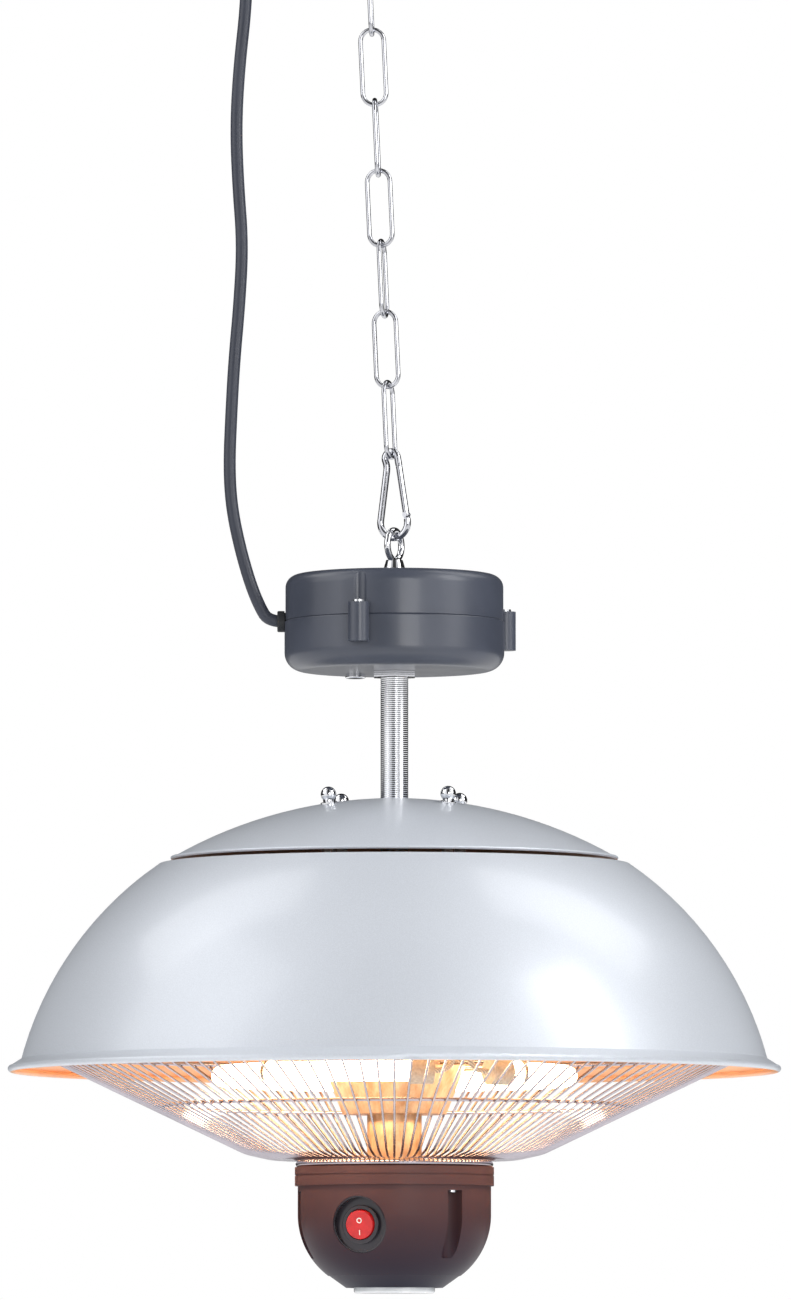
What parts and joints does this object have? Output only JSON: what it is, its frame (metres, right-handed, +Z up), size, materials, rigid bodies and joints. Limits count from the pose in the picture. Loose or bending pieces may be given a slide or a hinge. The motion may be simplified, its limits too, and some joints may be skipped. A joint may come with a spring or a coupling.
{
  "type": "hanging patio heater",
  "caption": "Infrared heater lamp under a silver spun dome with a wire grille, hung from a ceiling hook by a chain and a snap hook, with a junction box above and a switch cup below.",
  "frame": {"origin": "centre of the ceiling plate's top face", "axes": "+Z up, the switch side (front) towards -Y, +X to the right seen from the front"},
  "size_m": [0.425, 0.425, 0.8635],
  "materials": {
    "galvanised": "zinc-plated, satin",
    "bright_wire": "bright plated wire",
    "strap_nylon": "woven strap",
    "cable_jacket": "black rubber jacket, matt",
    "plug_rubber": "moulded rubber",
    "brass_pins": "plated pins",
    "bright_chrome": "polished chrome",
    "box_grey": "dark grey plastic, lightly textured",
    "seal_rubber": "soft rubber",
    "clamp_plastic": "moulded plastic",
    "core_insulation": "wire insulation",
    "zinc_tube": "zinc-plated",
    "silver_paint": "silver paint on spun sheet",
    "spacer_metal": "plain tube",
    "reflector_metal": "bright rolled sheet",
    "hub_metal": "heat-tinted sheet",
    "quartz": "gold-coated quartz tube",
    "ceramic_end": "steatite",
    "bracket_wire": "spring wire",
    "lead_sleeve": "glass-fibre sleeve",
    "grille_steel": "chrome-plated wire",
    "cup_grey": "dark grey plastic, satin gloss",
    "pocket_plastic": "black plastic",
    "rocker_red": "red plastic",
    "lens_milky": "milky diffuser",
    "board_green": "circuit board"
  },
  "bodies": {
    "ceiling_mount": {"ceiling_plate": "galvanised", "ceiling_hook": "galvanised"},
    "upper_link": {"top_link": "galvanised"},
    "chain": {"chain_links": "galvanised", "snap_hook": "bright_wire", "gate_pin": "bright_wire", "coil_strap": "strap_nylon", "mains_cable": "cable_jacket", "cable_coil": "cable_jacket", "cable_tail": "cable_jacket", "plug_body": "plug_rubber", "plug_pins": "brass_pins"},
    "gate": {"snap_hook_gate": "bright_wire"},
    "rocker": {"switch_rocker": "rocker_red"},
    "heater": {"ball_nuts": "bright_chrome", "box_lower_shell": "box_grey", "box_screws": "bright_chrome", "box_seal": "seal_rubber", "box_upper_shell": "box_grey", "cable_clamp": "clamp_plastic", "cable_gland": "seal_rubber", "cable_inner_end": "cable_jacket", "cap_spacers": "spacer_metal", "cap_studs": "bright_chrome", "centre_hub": "hub_metal", "clamp_screws": "bright_chrome", "core_wires": "core_insulation", "cup_body": "cup_grey", "cup_bottom_ring": "cup_grey", "cup_collar": "cup_grey", "cup_screws": "bright_chrome", "dome_shell": "silver_paint", "earth_screw": "bright_chrome", "eye_bolt": "bright_chrome", "eye_nut": "bright_chrome", "grille_clips": "grille_steel", "grille_rings": "grille_steel", "grille_wires": "grille_steel", "hub_column": "hub_metal", "lamp_brackets": "bracket_wire", "lamp_ends": "ceramic_end", "lamp_leads": "lead_sleeve", "lamp_lens": "lens_milky", "lamp_tube": "quartz", "led_board": "board_green", "reflector": "reflector_metal", "reflector_sleeve": "spacer_metal", "stud_nuts": "bright_chrome", "switch_bezel": "pocket_plastic", "switch_body": "pocket_plastic", "switch_pocket": "pocket_plastic", "terminal_block": "clamp_plastic", "threaded_tube": "zinc_tube", "top_cap": "silver_paint", "tube_nuts": "zinc_tube", "upper_sleeve": "spacer_metal"}
  },
  "joints": [
    {"name": "top_link_swing", "type": "hinge", "parent": "ceiling_mount", "child": "upper_link", "pos_m": [0, 0, -0.052], "axis": [1, 0, 0], "range_deg": [-20, 20]},
    {"name": "chain_swing", "type": "hinge", "parent": "upper_link", "child": "chain", "pos_m": [0.0017, 0, -0.08936], "axis": [0, 1, 0], "range_deg": [-20, 20]},
    {"name": "heater_tilt", "type": "hinge", "parent": "chain", "child": "heater", "pos_m": [0.01777, 0, -0.44335], "axis": [0.4695, 0.8829, 0], "range_deg": [-12, 12], "deforming": ["mains_cable"]},
    {"name": "gate_open", "type": "hinge", "parent": "chain", "child": "gate", "pos_m": [0.02435, -0.0037, -0.43492], "axis": [-0.469, -0.8829, -0.0213], "range_deg": [0, 7], "stiffness_Nm_per_rad": 0.02, "springref_deg": -17.19},
    {"name": "rocker_throw", "type": "hinge", "parent": "heater", "child": "rocker", "pos_m": [-0.00033, -0.04435, -0.82655], "axis": [0.9259, -0.3778, 0], "range_deg": [-12, 0]}
  ]
}
